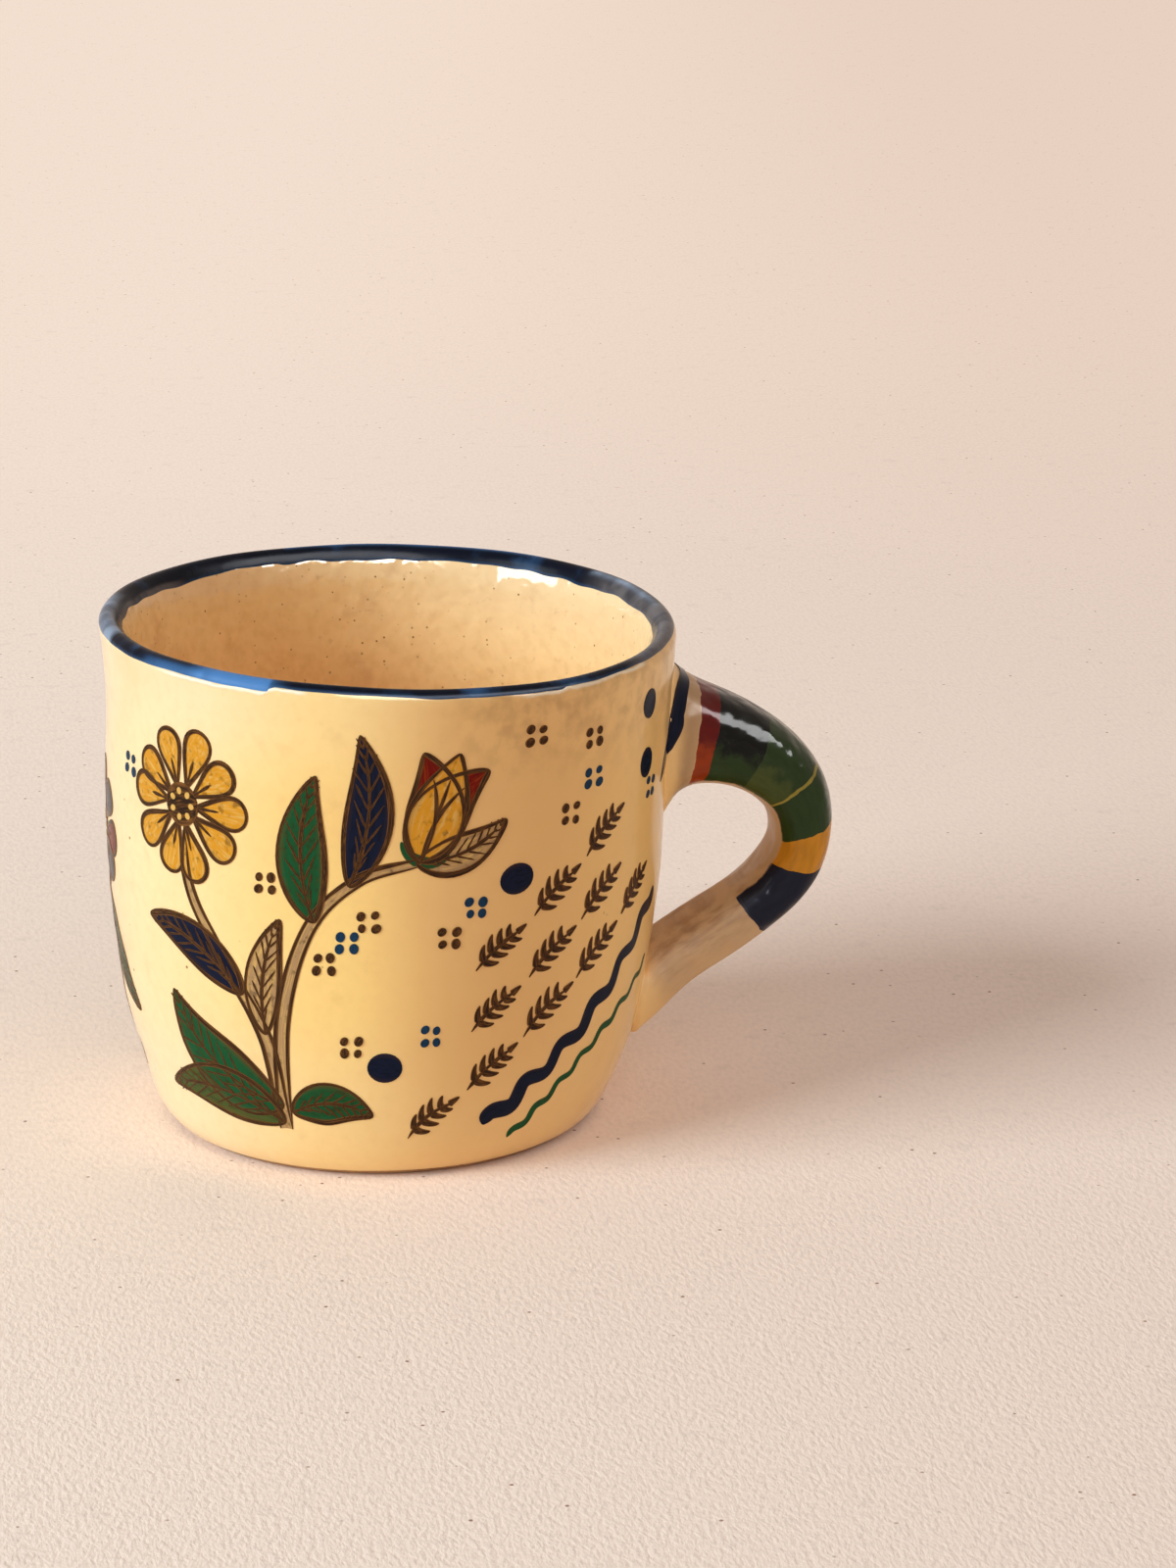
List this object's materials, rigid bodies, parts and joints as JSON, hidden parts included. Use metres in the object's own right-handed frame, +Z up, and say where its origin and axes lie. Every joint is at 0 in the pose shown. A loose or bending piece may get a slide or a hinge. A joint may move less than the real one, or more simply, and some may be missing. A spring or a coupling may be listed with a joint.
{
  "type": "teacup",
  "caption": "Handmade glazed earthenware teacup with a flat foot, rounded heel, dark blue band on the lip and a looped strap handle luted to the wall.",
  "frame": {"origin": "middle of the flat foot, on the surface that the cup stands on", "axes": "+X from the cup's axis towards the handle, +Z up, +Y to the left of the handle seen from above the foot"},
  "size_m": [0.1157, 0.09, 0.0824],
  "materials": {
    "clay": "fired earthenware, matt and slightly gritty",
    "slip": "fired slip, matt",
    "cream_glaze": "glossy cream glaze over hand-painted colours",
    "amber_glaze": "glossy amber glaze with fine brown specks",
    "blue_glaze": "glossy blue-black brushed band with uneven edges"
  },
  "bodies": {
    "root": {"cup_body": "clay", "handle": "clay", "upper_slip_joint": "slip", "lower_slip_joint": "slip", "outer_glaze": "cream_glaze", "liner_glaze": "amber_glaze", "rim_band": "blue_glaze"}
  },
  "joints": []
}
